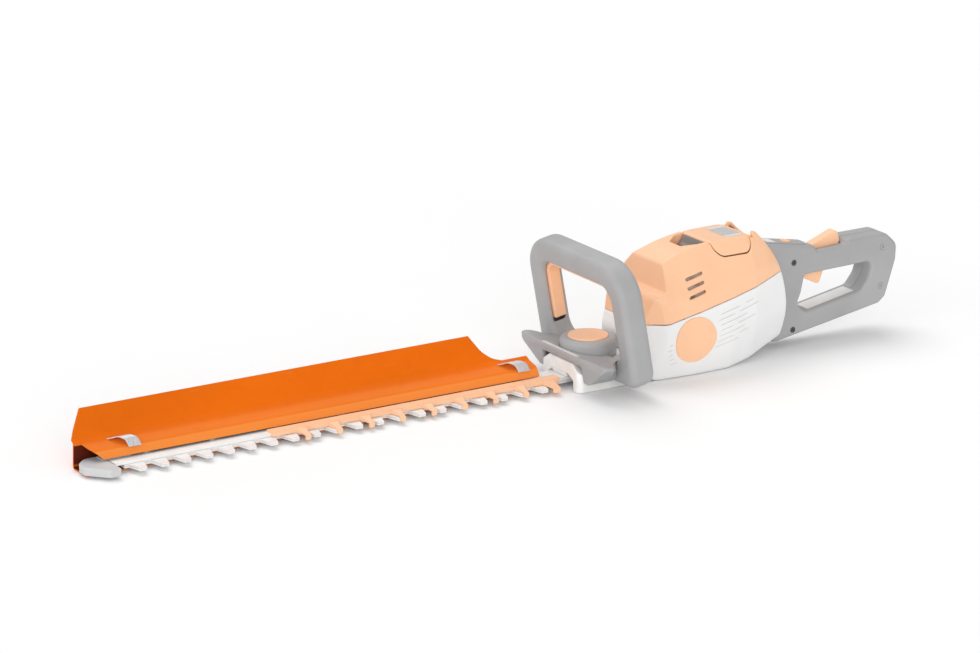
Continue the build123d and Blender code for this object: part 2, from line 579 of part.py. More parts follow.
# ---- Battery ----
def build_battery():
    """Battery pack: case, cells inside, cover on top with its panel, and the latch in front of it."""
    x0, x1 = BATTERY_X
    z0, z1 = BATTERY_Z
    case = box(x0, x1, -BATTERY_HALF_W, BATTERY_HALF_W, z0 + 7, z1 - 16)
    case = fillet(case.edges().filter_by(Axis.Z), 5)
    room = box(x0 + 2.5, x1 - 2.5, -BATTERY_HALF_W + 2.5, BATTERY_HALF_W - 2.5, z0 + 9.5, z1 - 15)
    parts["battery_case"] = case - room
    cells = []
    for i in range(3):
        for j in range(3):
            cells.append(cyl_z(x0 + 13.2 + 20.3 * i, -19.8 + 19.8 * j, z0 + 9.5, z0 + 79, 9.2))
    parts["battery_cells"] = group(cells)
    cover = box(x0, x1, -BATTERY_HALF_W, BATTERY_HALF_W, z1 - 16, z1)
    cover = fillet(cover.edges().filter_by(Axis.Z), 5)
    cover = fillet(cover.edges().group_by(Axis.Z)[-1], 5)
    lobes = hull(0.5) & cover_lobes(0) & box(x0, x1, -60, 60, z1 - 18, z1 - 0.4)
    cover += lobes - box(x0, x1, -BATTERY_HALF_W, BATTERY_HALF_W, z1 - 20, z1 - 16)
    cover -= box(x0 + 3, x1 - 3, -BATTERY_HALF_W + 3, BATTERY_HALF_W - 3, z1 - 17, z1 - 4)
    parts["battery_cover"] = cover - box(-66, -40, -23, 23, z1 - 1.2, z1 + 2)
    parts["battery_panel"] = box(-66, -40, -23, 23, z1 - 1.2, z1 + 0.4)
    px, pz = LATCH_PIVOT
    latch = prism_y([(-7, 149.4), (-7, 162.5), (-4.6, 162.5), (-1, 154), (4, 151.4), (4, 149.4)], -22, 22,
                    [1, 1, 1, 3, 1, 1])
    parts["battery_latch"] = latch - cyl_y(px, pz, -30, 30, LATCH_PIN_R + 0.05)
    parts["latch_pin"] = cyl_y(px, pz, -29, 29, LATCH_PIN_R)


# ---- Rear handle ----
HANDLE_OUTER = [(-96, 145.5), (-183, 129.5), (-188, 122), (-232, 124), (-236, 130), (-297, 130), (-315, 113),
                (-314, 92), (-298, 44), (-288, 36), (-128, 10), (-100, 10)]
HANDLE_RADII = [0, 3, 2, 3, 4, 16, 14, 10, 8, 10, 0, 0]
LOOP_HOLE = [(-168, 93), (-277, 95), (-270, 73), (-258, 58), (-172, 43), (-156, 54), (-163, 70)]
LOOP_HOLE_RADII = [4, 8, 14, 12, 8, 8, 8]
PANEL_X = -140.0
PANEL_Z = 137.3
PANEL_TILT = -10.4
TRIGGER_PIVOT = (-176.0, 103.0)
LOCKOUT_PIVOT = (-190.0, 116.0)
LOCK_LEVER_PIVOT = (-152.0, 42.0)


def handle_body(inset):
    """Rear handle outline drawn across the tool; inset moves its skin inwards."""
    face = outline(HANDLE_OUTER, HANDLE_RADII)
    hole = outline(LOOP_HOLE, LOOP_HOLE_RADII)
    half = HANDLE_HALF_W - inset
    if inset:
        return extrude(Plane.XZ * (offset(face, -inset) - offset(hole, inset)), half, both=True)
    solid = extrude(Plane.XZ * (face - hole), half, both=True)
    rim = solid.edges().filter_by(lambda e: e.length > 12 and abs(abs(e.center().Y) - half) < 0.1)
    return fillet(rim, 4)


def panel_place():
    """Place of the sloping control panel on top of the rear handle."""
    return Pos(PANEL_X, 0, PANEL_Z) * Rot(0, PANEL_TILT, 0)


def build_rear_handle():
    """Rear handle shells with their slots, label and screws."""
    outer = handle_body(0) - swivel_ball(SPHERE_R + 0.6)
    inner = handle_body(WALL) - swivel_ball(SPHERE_R + 4)
    shell = outer - inner
    shell -= cyl_x(0, SWIVEL_Z, -170, -100, 14.0)
    shell -= box(-211, -163, -7.5, 7.5, 80, 104)
    shell -= box(-232.5, -183, -7.5, 7.5, 112, 140)
    shell -= box(-165, -152, -7.5, 7.5, 40, 69)
    shell -= panel_place() * Box(66, 27, 2.4)
    shell -= panel_place() * Pos(-9, 0, 0) * Cylinder(7.5, 30)
    label = box(-252, -178, -12, 12, 40, 70) & (handle_body(0) - handle_body(0.5))
    label = sorted(label.solids(), key=lambda s: -s.center().Z)[0]
    shell -= label
    screws = []
    for x, z in [(-150, 22), (-290, 60), (-292, 112), (-150, 112)]:
        shell -= cyl_y(x, z, -30, 30, 2.0)
        shell -= cyl_y(x, z, HANDLE_HALF_W - 2.6, 30, 4.0)
        screws.append(Pos(x, HANDLE_HALF_W - 2.6, z) * Rot(-90, 0, 0) * screw(28, 2.0, 3.8, 2.2))
    parts["rear_handle_left"] = shell & box(-330, -80, 0.05, 40, 0, 160)
    parts["rear_handle_right"] = shell & box(-330, -80, -40, -0.05, 0, 160)
    parts["rear_handle_screws"] = group(screws)
    parts["handle_label"] = label


def build_rear_handle_parts():
    """Swivel, control panel, button, trigger, levers and switch of the rear handle."""
    bore = cyl_x(0, SWIVEL_Z, -150, -100, 9.0)
    spigot = cyl_x(0, SWIVEL_Z, -140, -112, 14.0) + cyl_x(0, SWIVEL_Z, -143, -140, 16.5)
    parts["swivel_spigot"] = spigot - bore
    parts["swivel_ring"] = cyl_x(0, SWIVEL_Z, -122, -119, 19) - cyl_x(0, SWIVEL_Z, -150, -100, 14.0)
    place = panel_place()
    panel = Box(66, 27, 2.0) - Pos(-9, 0, 0) * Cylinder(7.5, 10) - Pos(19, 0, 0.9) * Box(14, 18, 1.2)
    parts["control_panel"] = place * panel
    parts["status_window"] = place * Pos(19, 0, 0.8) * Box(14, 18, 1.0)
    parts["mode_button"] = place * Pos(-9, 0, -0.4) * Cylinder(7.1, 6.0)
    tx, tz = TRIGGER_PIVOT
    trigger = prism_y([(-168, 107), (-168, 88), (-196, 74), (-200, 75), (-207, 93), (-205, 100), (-184, 107)],
                      -7, 7, [3, 4, 3, 3, 3, 2, 3])
    parts["trigger"] = trigger - cyl_y(tx, tz, -20, 20, 2.55)
    parts["trigger_pin"] = cyl_y(tx, tz, -16, 16, 2.5)
    lx, lz = LOCKOUT_PIVOT
    lever = prism_y([(-186, 111), (-186, 127), (-224, 141), (-228, 139), (-231, 128), (-228, 117),
                     (-200, 111)], -7, 7, [3, 5, 2, 2, 3, 2, 3])
    parts["lockout_lever"] = lever - cyl_y(lx, lz, -20, 20, 2.05)
    parts["lockout_pin"] = cyl_y(lx, lz, -16, 16, 2.0)
    kx, kz = LOCK_LEVER_PIVOT
    lock = prism_y([(-147, 37), (-157, 37), (-161, 50), (-168, 62), (-163, 65), (-155, 55), (-147, 47)],
                   -7, 7, [2, 3, 4, 2, 2, 4, 3])
    parts["handle_lock_lever"] = lock - cyl_y(kx, kz, -20, 20, 2.05)
    parts["handle_lock_pin"] = cyl_y(kx, kz, -16, 16, 2.0)
    parts["switch_module"] = box(-262, -234, -9, 9, 101, 119) + box(-234, -231.5, -2, 2, 104, 112)
    coils = [cyl_y(tx, tz, y, y + 1.1, 4.6) - cyl_y(tx, tz, y, y + 1.1, 3.4) for y in (8.4, 9.9, 11.4, 12.9)]
    parts["trigger_spring"] = group(coils)


# ---- Sweep plate ----
def plate_section():
    """Cross-section of the sweep plate: channel around the back of the bar and raised flap."""
    roof = FilletPolyline((PLATE_NEAR_Y, 15.4), (-10.5, 23), (-14.5, 26.4), (-30, 30.2), (-38.5, 35),
                          (-46, 45), (-57.5, 67), radius=[4, 4, 3, 14, 20])
    back = FilletPolyline((0, 0.8), (-33.5, 0.8), (-35.5, 3), (-34, 31.6), radius=[1.5, 1.5])
    return trace(roof, SHEET) + trace(back, SHEET)


def build_sweep_plate():
    """Folded sheet that clips over the bar, trimmed at both ends, with its two slanting clips."""
    length = 868 - PLATE_ROOT_X
    plate = extrude(Plane.YZ.offset(PLATE_ROOT_X) * plate_section(), length)
    plate -= prism_y([(869, 33.5), (846, 68.4), (846, 90), (900, 90), (900, 33.5)], -80, 0)
    plate -= prism_y([(258, 34), (271, 37), (284, 47), (298, 68.4), (298, 90), (200, 90), (200, 34)], -80, 0,
                     [4, 30, 30, 0, 0, 0, 0])
    plate -= prism_z([(PLATE_TIP_X, -31), (870, -31), (870, 12), (828, 12), (830, -4), (842, -7), (854, -14)],
                     12, 50, [0, 0, 0, 0, 6, 14, 14])
    clips = []
    arch = FilletPolyline((-30.2, 32.1), (-27, 32.6), (-20, 36.5), (-12.5, 34), (-8.6, 24.4), radius=[8, 8, 6])
    for x in (816, 262):
        strap = extrude(Plane.YZ.offset(x - 30) * trace(arch, 1.2), 60)
        clips.append(strap & prism_z([(x + 12, -34), (x - 4, -34), (x - 28, -7), (x - 12, -7)], 20, 50))
    parts["sweep_plate"] = plate
    parts["retaining_clips"] = group(clips)


def export_all():
    """Write one STEP file for each named part."""
    os.makedirs("parts", exist_ok=True)
    for name, shape in parts.items():
        solids = shape.solids()
        if len(solids) == 1:
            shape = solids[0]
        shape.label = name
        export_step(shape, f"parts/{name}.step")


build_crank()
build_motor()
build_cutter_bar()
build_gearbox()
build_hand_guard()
build_front_handle()
build_housing()
build_battery()
build_rear_handle()
build_rear_handle_parts()
build_sweep_plate()
export_all()
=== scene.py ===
import json
import math

import bmesh
import bpy
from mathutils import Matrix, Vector
from mathutils.bvhtree import BVHTree

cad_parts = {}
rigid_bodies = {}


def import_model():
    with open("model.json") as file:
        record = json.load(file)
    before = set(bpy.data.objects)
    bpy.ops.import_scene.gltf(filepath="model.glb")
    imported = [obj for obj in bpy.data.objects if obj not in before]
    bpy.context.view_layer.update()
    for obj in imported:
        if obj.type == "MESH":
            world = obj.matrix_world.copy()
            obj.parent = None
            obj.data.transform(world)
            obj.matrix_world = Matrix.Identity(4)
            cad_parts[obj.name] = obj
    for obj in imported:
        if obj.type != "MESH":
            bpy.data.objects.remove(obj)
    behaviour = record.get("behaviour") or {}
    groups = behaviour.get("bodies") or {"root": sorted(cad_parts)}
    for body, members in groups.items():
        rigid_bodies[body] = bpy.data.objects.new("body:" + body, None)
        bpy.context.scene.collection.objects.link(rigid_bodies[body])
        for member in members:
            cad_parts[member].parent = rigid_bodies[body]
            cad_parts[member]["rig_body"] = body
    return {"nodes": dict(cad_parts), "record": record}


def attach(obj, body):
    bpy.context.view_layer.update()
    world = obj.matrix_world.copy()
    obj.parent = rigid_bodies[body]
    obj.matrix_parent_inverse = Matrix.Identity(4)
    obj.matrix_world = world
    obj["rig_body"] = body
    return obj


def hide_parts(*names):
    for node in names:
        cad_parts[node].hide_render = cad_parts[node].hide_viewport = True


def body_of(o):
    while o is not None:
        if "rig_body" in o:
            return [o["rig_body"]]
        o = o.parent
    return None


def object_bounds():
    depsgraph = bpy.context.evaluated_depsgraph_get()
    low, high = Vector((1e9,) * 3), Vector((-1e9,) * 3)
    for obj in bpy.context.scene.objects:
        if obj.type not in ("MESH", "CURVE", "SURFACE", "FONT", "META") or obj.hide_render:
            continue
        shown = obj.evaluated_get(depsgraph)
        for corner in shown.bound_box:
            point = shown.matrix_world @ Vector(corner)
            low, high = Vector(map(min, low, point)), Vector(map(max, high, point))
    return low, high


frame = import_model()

CAD_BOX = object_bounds()
NODES = frame["nodes"]
MM = 0.001

CAMERA_PLACE = (3.4820, 5.0229, 1.9074)
CAMERA_AIM = (-0.5119, -0.8081, -0.2916)
CAMERA_LENS = 183.67


# ---------------------------------------------------------------- view and light

def make_camera():
    """Camera at the product view's angle, with no depth of field."""
    data = bpy.data.cameras.new("camera")
    data.sensor_width = 36
    data.lens = CAMERA_LENS
    data.clip_start = 0.1
    data.clip_end = 100
    camera = bpy.data.objects.new("camera", data)
    camera.location = CAMERA_PLACE
    camera.rotation_mode = "QUATERNION"
    camera.rotation_quaternion = Vector(CAMERA_AIM).to_track_quat("-Z", "Y")
    bpy.context.scene.collection.objects.link(camera)
    bpy.context.scene.camera = camera


def add_sun(name, direction, strength, softness):
    """Sun lamp that shines along direction, with a wide disc for soft shadows."""
    data = bpy.data.lights.new(name, "SUN")
    data.energy = strength
    data.angle = math.radians(softness)
    lamp = bpy.data.objects.new(name, data)
    lamp.rotation_mode = "QUATERNION"
    lamp.rotation_quaternion = Vector(direction).to_track_quat("-Z", "Y")
    bpy.context.scene.collection.objects.link(lamp)


def make_light():
    """White studio: even light all round, a soft key from above and a fill from the camera's side."""
    world = bpy.data.worlds.new("studio")
    world.use_nodes = True
    world.node_tree.nodes["Background"].inputs["Color"].default_value = (1, 1, 1, 1)
    world.node_tree.nodes["Background"].inputs["Strength"].default_value = 0.55
    bpy.context.scene.world = world
    add_sun("key", (0.05, 0.55, -1.0), 1.25, 45)
    add_sun("fill", (-0.35, -0.90, -0.30), 0.95, 40)
    add_sun("front", (-1.0, -0.25, -0.30), 0.70, 50)
    bpy.context.scene.view_settings.view_transform = "Standard"


# ---------------------------------------------------------------- materials

def linear(red, green, blue):
    """Display colour in 0 to 255 as the linear colour that shaders take."""
    out = []
    for value in (red, green, blue):
        part = value / 255
        out.append(part / 12.92 if part <= 0.04045 else ((part + 0.055) / 1.055) ** 2.4)
    return (*out, 1.0)


def shade(colour, factor):
    """The colour made lighter or darker, kept inside 0 to 1."""
    return (*(min(1.0, c * factor) for c in colour[:3]), 1.0)


class Nodes:
    """Small helper that adds and joins shader nodes of one material."""

    def __init__(self, name):
        self.material = bpy.data.materials.new(name)
        self.material.use_nodes = True
        self.tree = self.material.node_tree
        self.shader = self.tree.nodes["Principled BSDF"]
        coords = self.add("ShaderNodeTexCoord")
        self.coords = coords.outputs["Object"]

    def add(self, kind, **values):
        """New node, with its inputs set by name: a value or another node's output."""
        node = self.tree.nodes.new(kind)
        for key, value in values.items():
            self.put(node.inputs[key.replace("_", " ")], value)
        return node

    def put(self, socket, value):
        """Set a socket to a value, or link it to an output."""
        if isinstance(value, bpy.types.NodeSocket):
            self.tree.links.new(value, socket)
        else:
            socket.default_value = value

    def noise(self, scale, detail=4.0, stretch=None):
        """Noise factor in the object's own space, optionally stretched."""
        vector = self.coords
        if stretch:
            mapping = self.add("ShaderNodeMapping", Vector=vector, Scale=stretch)
            vector = mapping.outputs["Vector"]
        return self.add("ShaderNodeTexNoise", Vector=vector, Scale=scale, Detail=detail).outputs["Fac"]

    def remap(self, value, low, high, to_low, to_high):
        """Map range, clamped."""
        node = self.add("ShaderNodeMapRange", Value=value)
        for key, number in (("From Min", low), ("From Max", high), ("To Min", to_low), ("To Max", to_high)):
            node.inputs[key].default_value = number
        return node.outputs["Result"]

    def mix(self, factor, first, second):
        """Colour mix of two colours or outputs."""
        node = self.tree.nodes.new("ShaderNodeMix")
        node.data_type = "RGBA"
        self.put(node.inputs[0], factor)
        self.put(node.inputs[6], first)
        self.put(node.inputs[7], second)
        return node.outputs[2]

    def maths(self, operation, first, second):
        """Math node on two values."""
        node = self.tree.nodes.new("ShaderNodeMath")
        node.operation = operation
        self.put(node.inputs[0], first)
        self.put(node.inputs[1], second)
        return node.outputs[0]

    def edges(self, radius):
        """Rounded normal at sharp edges, and a mask of those edges."""
        bevel = self.add("ShaderNodeBevel", Radius=radius)
        bevel.samples = 4
        facing = self.tree.nodes.new("ShaderNodeVectorMath")
        facing.operation = "DOT_PRODUCT"
        self.put(facing.inputs[0], bevel.outputs["Normal"])
        self.put(facing.inputs[1], self.add("ShaderNodeNewGeometry").outputs["Normal"])
        return bevel.outputs["Normal"], self.remap(facing.outputs["Value"], 0.98, 0.80, 0.0, 1.0)


def finish_material(kit, colour, rough, bump, height, normal, wear, worn_colour):
    """Joins colour, wear, roughness and bump to the shader."""
    kit.put(kit.shader.inputs["Base Color"], kit.mix(wear, colour, worn_colour))
    kit.put(kit.shader.inputs["Roughness"], rough)
    relief = kit.add("ShaderNodeBump", Strength=bump, Height=height, Normal=normal)
    relief.inputs["Distance"].default_value = 0.0004
    kit.put(kit.shader.inputs["Normal"], relief.outputs["Normal"])
    return kit.material


def plastic(name, colour, rough=0.45, grain=1500, bump=0.10, mottle=0.05, edge=1.10,
            radius=0.0006, gloss=0.35):
    """Moulded plastic: fine spark texture, faint flow mottling, scuffs and lighter rubbed edges."""
    kit = Nodes(name)
    normal, rim = kit.edges(radius)
    flow = kit.noise(14, 5)
    base = kit.mix(kit.remap(flow, 0.35, 0.65, 0, 1), shade(colour, 1 - mottle), shade(colour, 1 + mottle))
    speck = kit.noise(grain * 0.6, 2)
    base = kit.mix(kit.remap(speck, 0.60, 0.75, 0, 0.22), base, shade(colour, 0.88))
    scuff = kit.noise(90, 6, (1, 1, 5))
    roughness = kit.remap(scuff, 0.3, 0.7, rough - 0.07, rough + 0.10)
    wear = kit.maths("MULTIPLY", rim, kit.remap(kit.noise(220, 4), 0.42, 0.62, 0.05, 0.75))
    kit.shader.inputs["Specular IOR Level"].default_value = gloss
    return finish_material(kit, base, roughness, bump, kit.noise(grain, 3), normal, wear, shade(colour, edge))


def metal(name, colour, rough=0.3, stretch=(4, 90, 90), bump=0.06, tone=0.10, edge=1.25,
          radius=0.0004, metallic=1.0):
    """Brushed or ground metal: streaks along one direction, cloudy tone and bright edges."""
    kit = Nodes(name)
    normal, rim = kit.edges(radius)
    streak = kit.noise(22, 5, stretch)
    cloud = kit.noise(30, 4)
    base = kit.mix(kit.remap(streak, 0.35, 0.65, 0, 1), shade(colour, 1 - tone), shade(colour, 1 + tone))
    base = kit.mix(kit.remap(cloud, 0.5, 0.75, 0, 0.35), base, shade(colour, 1 - 2 * tone))
    roughness = kit.remap(streak, 0.3, 0.7, rough - 0.06, rough + 0.12)
    wear = kit.maths("MULTIPLY", rim, kit.remap(kit.noise(260, 3), 0.35, 0.6, 0.2, 0.9))
    kit.shader.inputs["Metallic"].default_value = metallic
    return finish_material(kit, base, roughness, bump, streak, normal, wear, shade(colour, edge))


def cast(name, colour):
    """Die-cast alloy: pitted satin skin with small grey pores."""
    kit = Nodes(name)
    normal, rim = kit.edges(0.0008)
    pores = kit.noise(700, 5)
    cloud = kit.noise(35, 5)
    base = kit.mix(kit.remap(cloud, 0.35, 0.65, 0, 1), shade(colour, 0.93), shade(colour, 1.05))
    base = kit.mix(kit.remap(pores, 0.58, 0.70, 0, 0.35), base, shade(colour, 0.62))
    roughness = kit.remap(cloud, 0.3, 0.7, 0.38, 0.58)
    wear = kit.maths("MULTIPLY", rim, kit.remap(kit.noise(240, 3), 0.4, 0.6, 0.1, 0.8))
    kit.shader.inputs["Metallic"].default_value = 0.10
    return finish_material(kit, base, roughness, 0.22, pores, normal, wear, shade(colour, 1.15))


def channel_shade_mask(kit):
    """Mask of the painted shade inside the plate's channel: floor, back wall and the underside of the roof.
    """
    place = kit.add("ShaderNodeSeparateXYZ", Vector=kit.coords)
    facing = kit.add("ShaderNodeSeparateXYZ", Vector=kit.add("ShaderNodeNewGeometry").outputs["Normal"])
    inside = kit.remap(place.outputs["Y"], -0.0347, -0.0345, 0, 1)
    low = kit.remap(place.outputs["Z"], 0.0095, 0.0100, 1, 0)
    up = kit.maths("MULTIPLY", kit.remap(facing.outputs["Z"], 0.4, 0.6, 0, 1), low)
    high = kit.maths("SUBTRACT", 1.0, low)
    down = kit.maths("MULTIPLY", kit.remap(facing.outputs["Z"], -0.15, -0.3, 0, 1), high)
    side = kit.maths("MULTIPLY", kit.remap(facing.outputs["Y"], 0.7, 0.9, 0, 1),
                     kit.remap(place.outputs["Y"], -0.0325, -0.0320, 1, 0))
    total = kit.maths("MAXIMUM", kit.maths("MAXIMUM", up, down), side)
    return kit.maths("MULTIPLY", total, inside)


def sheet_colour(name, colour, light, deep, painted_channel_shade):
    """Powder-coated sheet: orange-peel skin, broad soft mottling, a lip made paler by painted highlight, and
    painted shade inside the channel.
    """
    kit = Nodes(name)
    normal, rim = kit.edges(0.0005)
    across = kit.add("ShaderNodeSeparateXYZ", Vector=kit.coords).outputs["Y"]
    broad = kit.noise(5, 4, (1, 2.2, 2.2))
    base = kit.mix(kit.remap(broad, 0.35, 0.65, 0, 1), shade(colour, 0.93), shade(colour, 1.04))
    fine = kit.noise(60, 6)
    base = kit.mix(kit.remap(fine, 0.55, 0.75, 0, 0.25), base, deep)
    scratch = kit.noise(40, 8, (0.6, 9, 9))
    base = kit.mix(kit.remap(scratch, 0.66, 0.74, 0, 0.20), base, light)
    # Painted highlight: the near band of the flap and the lip in front of the fold are made paler, as if
    # catching more light.
    base = kit.mix(kit.remap(across, -0.0325, -0.0255, 0, 0.32), base, light)
    base = kit.mix(kit.remap(across, -0.0118, -0.0108, 0, 0.75), base, light)
    # Painted shade: the faces inside the channel are coloured dark maroon, standing in for the shadow there.
    base = kit.mix(channel_shade_mask(kit), base, painted_channel_shade)
    roughness = kit.remap(fine, 0.3, 0.7, 0.46, 0.62)
    wear = kit.maths("MULTIPLY", rim, kit.remap(kit.noise(180, 4), 0.35, 0.6, 0.15, 0.85))
    kit.shader.inputs["Specular IOR Level"].default_value = 0.12
    return finish_material(kit, base, roughness, 0.12, kit.noise(900, 3), normal, wear, light)


def film(name, colour):
    """Blank printed film: satin, with a slightly darker rim and faint weave."""
    kit = Nodes(name)
    normal, rim = kit.edges(0.0008)
    base = kit.mix(kit.remap(kit.noise(40, 4), 0.35, 0.65, 0, 1), shade(colour, 0.96), shade(colour, 1.02))
    roughness = kit.remap(kit.noise(160, 4), 0.3, 0.7, 0.28, 0.42)
    wear = kit.maths("MULTIPLY", rim, kit.remap(kit.noise(300, 3), 0.3, 0.6, 0.2, 0.9))
    return finish_material(kit, base, roughness, 0.05, kit.noise(1800, 2), normal, wear, shade(colour, 0.80))


def screw_finish(name, sunk, plain, boundary):
    """Blackened screw heads in front of the boundary (x in metres), and plain grey ones behind it."""
    kit = Nodes(name)
    normal, rim = kit.edges(0.0003)
    place = kit.add("ShaderNodeSeparateXYZ", Vector=kit.coords)
    front = kit.remap(place.outputs["X"], boundary - 0.001, boundary + 0.001, 0, 1)
    base = kit.mix(front, plain, sunk)
    roughness = kit.remap(kit.noise(200, 4), 0.3, 0.7, 0.42, 0.58)
    return finish_material(kit, base, roughness, 0.1, kit.noise(1200, 3), normal, rim, shade(plain, 1.1))


def hatched(name, frame_colour, bar_colour):
    """Blank battery panel: pale frame around a field of fine grey bars."""
    kit = Nodes(name)
    normal, rim = kit.edges(0.0005)
    place = kit.add("ShaderNodeSeparateXYZ", Vector=kit.coords)
    wave = kit.maths("PINGPONG", place.outputs["Y"], 0.0014)
    bars = kit.remap(wave, 0.0006, 0.0008, 0, 1)
    across = kit.maths("ABSOLUTE", place.outputs["Y"], 0.0)
    field = kit.remap(across, 0.0170, 0.0175, 1, 0)
    base = kit.mix(kit.maths("MULTIPLY", bars, field), frame_colour, bar_colour)
    base = kit.mix(kit.remap(kit.noise(60, 4), 0.5, 0.75, 0, 0.25), base, shade(frame_colour, 0.9))
    roughness = kit.remap(kit.noise(160, 4), 0.3, 0.7, 0.30, 0.45)
    worn = shade(frame_colour, 0.9)
    return finish_material(kit, base, roughness, 0.05, kit.noise(1500, 2), normal, rim, worn)


def board(name):
    """Circuit board: green lacquer with cells of copper and pads."""
    kit = Nodes(name)
    normal, rim = kit.edges(0.0003)
    cells = kit.add("ShaderNodeTexVoronoi", Vector=kit.coords, Scale=260.0)
    pads = kit.remap(cells.outputs["Distance"], 0.10, 0.16, 1, 0)
    tracks = kit.remap(kit.noise(120, 2, (1, 6, 1)), 0.5, 0.56, 0, 0.5)
    base = kit.mix(tracks, linear(30, 92, 58), linear(52, 128, 80))
    base = kit.mix(pads, base, linear(200, 170, 90))
    roughness = kit.remap(kit.noise(90, 3), 0.3, 0.7, 0.3, 0.5)
    worn = linear(170, 175, 120)
    return finish_material(kit, base, roughness, 0.2, cells.outputs["Distance"], normal, rim, worn)


GREY = linear(168, 168, 169)
PEACH = linear(253, 200, 160)
WHITE = linear(238, 238, 238)
DARK = linear(130, 127, 125)
ORANGE = linear(232, 108, 0)

MATERIALS = {
    "grey_plastic": plastic("grey_plastic", GREY, rough=0.50, bump=0.16, mottle=0.05, edge=1.22),
    "peach_plastic": plastic("peach_plastic", PEACH, rough=0.38, bump=0.07, mottle=0.03, edge=1.05),
    "white_plastic": plastic("white_plastic", WHITE, rough=0.40, bump=0.07, mottle=0.02, edge=0.90),
    "dark_grey_plastic": plastic("dark_grey_plastic", DARK, rough=0.55, bump=0.18, mottle=0.08, edge=1.4),
    "label_film": film("label_film", linear(236, 236, 235)),
    "cast_alloy": cast("cast_alloy", linear(246, 245, 243)),
    "blade_steel": metal("blade_steel", linear(240, 238, 236), rough=0.40, tone=0.10, edge=1.1,
                         metallic=0.12),
    "bar_metal": metal("bar_metal", linear(248, 247, 245), rough=0.42, tone=0.07, edge=1.1, metallic=0.10),
    "bright_steel": metal("bright_steel", linear(205, 205, 208), rough=0.26, stretch=(60, 60, 6)),
    "cell_wrap": plastic("cell_wrap", linear(70, 130, 175), rough=0.3, grain=600, mottle=0.10),
    "circuit_board": board("circuit_board"),
    # The pale orange (third colour) serves the scratches, the worn edges and the painted highlight on the
    # lip.
    "plate_orange": sheet_colour("plate_orange", ORANGE, linear(246, 146, 66), linear(216, 92, 0),
                                 # Last colour: dark maroon painted shade for the inside of the channel.
                                 linear(92, 30, 14)),
}
STRAP_METAL = metal("strap_metal", linear(216, 216, 218), rough=0.32, stretch=(40, 4, 4), tone=0.07,
                    metallic=0.45)
BAFFLE = plastic("baffle", linear(188, 168, 150), rough=0.6, grain=900, mottle=0.08, edge=1.1)
GROOVE_GREY = plastic("groove_grey", linear(212, 212, 212), rough=0.5, grain=900, mottle=0.05, edge=0.95)
DEEP_GREY = plastic("deep_grey", linear(70, 68, 68), rough=0.6, grain=900, mottle=0.10, edge=1.3)


NOSE_GREY = plastic("nose_grey", linear(200, 200, 201), rough=0.48, bump=0.14, mottle=0.05, edge=1.12)
SCREW_FINISH = screw_finish("screw_finish", linear(70, 68, 68), GREY, -0.200)
BATTERY_LABEL = hatched("battery_label", linear(226, 222, 218), linear(150, 150, 152))


def dress(obj, material):
    """Give every slot of a piece this material."""
    if not obj.data.materials:
        obj.data.materials.append(material)
    for index in range(len(obj.data.materials)):
        obj.data.materials[index] = material


SLOT_OF = {part["node"]: part["material_slot"] for part in frame["record"]["subparts"]}

for node_name, node in NODES.items():
    dress(node, MATERIALS[SLOT_OF[node_name]])
dress(NODES["retaining_clips"], STRAP_METAL)


# ---------------------------------------------------------------- moulded copies of the shells

def evaluated_mesh(obj):
    """The object's mesh with its modifiers applied."""
    graph = bpy.context.evaluated_depsgraph_get()
    return bpy.data.meshes.new_from_object(obj.evaluated_get(graph))


def moulded(name, nodes, voxel, passes):
    """One softly rounded skin made from the CAD nodes' own shapes, which it then stands for."""
    work = bmesh.new()
    for node in nodes:
        work.from_mesh(NODES[node].data)
    bmesh.ops.remove_doubles(work, verts=work.verts, dist=0.01 * MM)
    mesh = bpy.data.meshes.new(name)
    work.to_mesh(mesh)
    work.free()
    piece = bpy.data.objects.new(name, mesh)
    bpy.context.scene.collection.objects.link(piece)
    remesh = piece.modifiers.new("voxels", "REMESH")
    remesh.mode = "VOXEL"
    remesh.voxel_size = voxel * MM
    smooth = piece.modifiers.new("smooth", "SMOOTH")
    smooth.factor = 0.5
    smooth.iterations = passes
    piece.data = evaluated_mesh(piece)
    piece.modifiers.clear()
    for face in piece.data.polygons:
        face.use_smooth = True
    piece.data.materials.clear()
    dress(piece, MATERIALS[SLOT_OF[nodes[0]]])
    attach(piece, body_of(NODES[nodes[0]])[0])
    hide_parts(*nodes)
    return piece


# Name of the skin, the nodes it stands for, voxel size in mm, and passes of smoothing
MOULDED = [
    ("top_shell", ["top_housing"], 0.9, 6),
    ("lower_shell", ["lower_housing"], 1.0, 12),
    ("battery_lid", ["battery_cover"], 0.8, 5),
    ("front_loop", ["front_handle_front", "front_handle_rear"], 1.0, 30),
    ("grip_left", ["rear_handle_left"], 0.9, 9),
    ("grip_right", ["rear_handle_right"], 0.9, 9),
    ("visor", ["hand_guard"], 0.9, 6),
    ("motor_cover", ["motor_dome"], 0.9, 8),
    ("dome_inlay", ["dome_cap"], 0.6, 5),
    ("trigger_blade", ["trigger"], 0.6, 6),
    ("lockout_paddle", ["lockout_lever"], 0.6, 6),
    ("swivel_lock", ["handle_lock_lever"], 0.6, 6),
    ("latch_tongue", ["battery_latch"], 0.5, 4),
    ("mode_key", ["mode_button"], 0.4, 4),
    ("panel_frame", ["control_panel"], 0.5, 3),
    ("bail", ["switch_bail"], 0.7, 5),
    ("nose", ["tip_guard"], 0.5, 10),
    ("gear_case", ["gearbox_housing"], 0.9, 6),
]
SKINS = {name: moulded(name, nodes, voxel, passes) for name, nodes, voxel, passes in MOULDED}
dress(SKINS["nose"], NOSE_GREY)
dress(NODES["rear_handle_screws"], SCREW_FINISH)
dress(NODES["battery_panel"], BATTERY_LABEL)
dress(NODES["front_handle_screws"], DEEP_GREY)


# ---------------------------------------------------------------- small details laid on the skins

